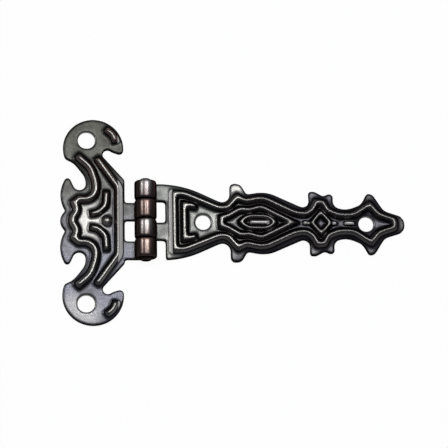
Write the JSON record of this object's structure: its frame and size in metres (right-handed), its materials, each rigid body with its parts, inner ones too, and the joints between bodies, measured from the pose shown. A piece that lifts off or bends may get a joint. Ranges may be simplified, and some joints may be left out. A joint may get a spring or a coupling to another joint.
{
  "type": "decorative strap hinge",
  "caption": "Small embossed strap hinge: a scrolled T leaf and a long lobed strap, stamped from sheet steel and rolled round one pin.",
  "frame": {"origin": "on the back plane straight under the pin's axis, on the strap's centre line", "axes": "+X along the strap to its tip, +Y along the pin, +Z out of the ornamental face"},
  "size_m": [0.065, 0.0396, 0.0042],
  "materials": {
    "blackened_plate": "antique black plated, satin",
    "pin_steel": "antique black plated, satin"
  },
  "bodies": {
    "plate": {"scroll_leaf": "blackened_plate", "hinge_pin": "pin_steel"},
    "strap": {"strap_leaf": "blackened_plate"}
  },
  "joints": [
    {"name": "strap_swing", "type": "hinge", "parent": "plate", "child": "strap", "pos_m": [0, 0, 0.0021], "axis": [0, -1, 0], "range_deg": [-110, 180]}
  ]
}
